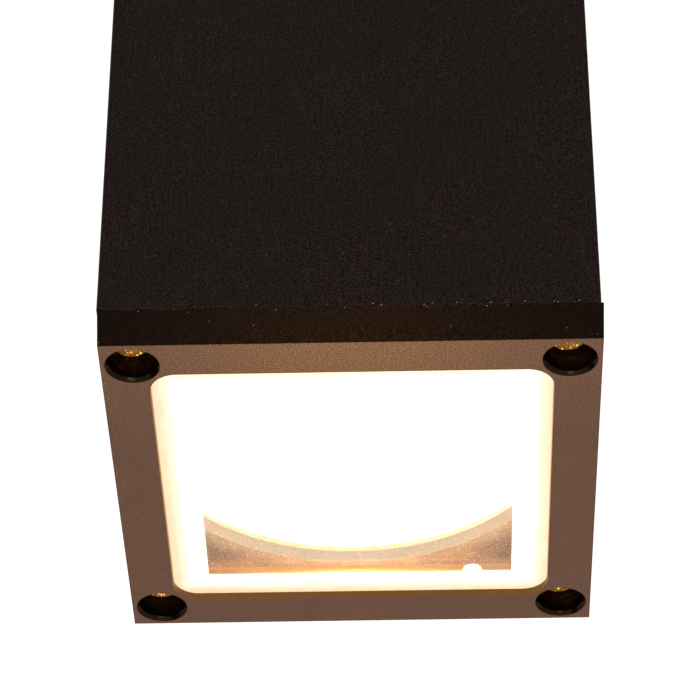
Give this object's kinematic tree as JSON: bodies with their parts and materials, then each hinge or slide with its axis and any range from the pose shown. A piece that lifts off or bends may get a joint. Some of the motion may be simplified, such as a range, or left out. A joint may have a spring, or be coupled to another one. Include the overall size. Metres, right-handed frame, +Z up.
{
  "type": "bollard light",
  "caption": "Square black aluminium bollard light: post on a base plate, hollow arm and a down-facing glazed lamp head with a twist-lock lamp.",
  "frame": {"origin": "centre of the post's foot, on the ground under the base plate", "axes": "+Z up along the post; +X from the post towards the lamp head; +Y across the arm"},
  "size_m": [0.3257, 0.18, 0.9],
  "materials": {
    "powder_coat": "fine-textured matt black powder coat on steel",
    "coated_aluminium": "fine-textured matt black powder coat on aluminium",
    "frame_paint": "smooth satin black",
    "black_rubber": "matt",
    "pale_silicone": "translucent white silicone",
    "cast_aluminium": "plain, as machined",
    "steel_screws": "stainless",
    "white_plastic": "moulded",
    "circuit_board": "white solder mask",
    "yellow_steel": "yellow passivated zinc on steel",
    "green_wire": "wire insulation",
    "brown_wire": "wire insulation",
    "clear_glass": "toughened clear glass",
    "sheet_aluminium": "mill finish sheet, slightly sparkling",
    "white_enamel": "white enamel",
    "contact_brass": "plain",
    "lit_diffuser": "opal diffuser, lit"
  },
  "bodies": {
    "bollard": {"base_plate": "powder_coat", "base_grommet": "black_rubber", "foot_flange": "cast_aluminium", "foot_fingers": "cast_aluminium", "spigot_screws": "steel_screws", "foot_seal": "black_rubber", "post_lock_screws": "steel_screws", "post_tube": "coated_aluminium", "post_top_seal": "black_rubber", "post_bolts": "steel_screws", "arm_housing": "coated_aluminium", "arm_lid": "coated_aluminium", "lid_seal": "black_rubber", "lid_screws": "steel_screws", "post_grommet": "black_rubber", "head_grommet": "black_rubber", "cable_clamp": "white_plastic", "clamp_screws": "yellow_steel", "terminal_block": "white_plastic", "terminal_screws": "yellow_steel", "earth_stud": "yellow_steel", "earth_lead": "green_wire", "lamp_leads": "brown_wire", "head_top_seal": "black_rubber", "head_bolts": "steel_screws", "head_tube": "coated_aluminium", "frame_gasket": "pale_silicone", "lens_frame": "frame_paint", "glass_gasket": "pale_silicone", "lens_glass": "clear_glass", "glass_seal": "pale_silicone", "frame_screws": "yellow_steel", "reflector_plate": "sheet_aluminium", "lamp_shroud": "white_enamel", "gear_tray": "sheet_aluminium", "tray_standoffs": "steel_screws", "standoff_nuts": "steel_screws", "lamp_holder": "white_plastic", "holder_contacts": "contact_brass", "holder_screws": "steel_screws"},
    "lamp": {"lamp_housing": "white_plastic", "lamp_board": "circuit_board", "lamp_diffuser": "lit_diffuser", "lamp_pins": "contact_brass"}
  },
  "joints": [
    {"name": "lamp_twist", "type": "hinge", "parent": "bollard", "child": "lamp", "pos_m": [0.189, 0, 0.6679], "axis": [0, 0, 1], "range_deg": [-20, 0]}
  ]
}
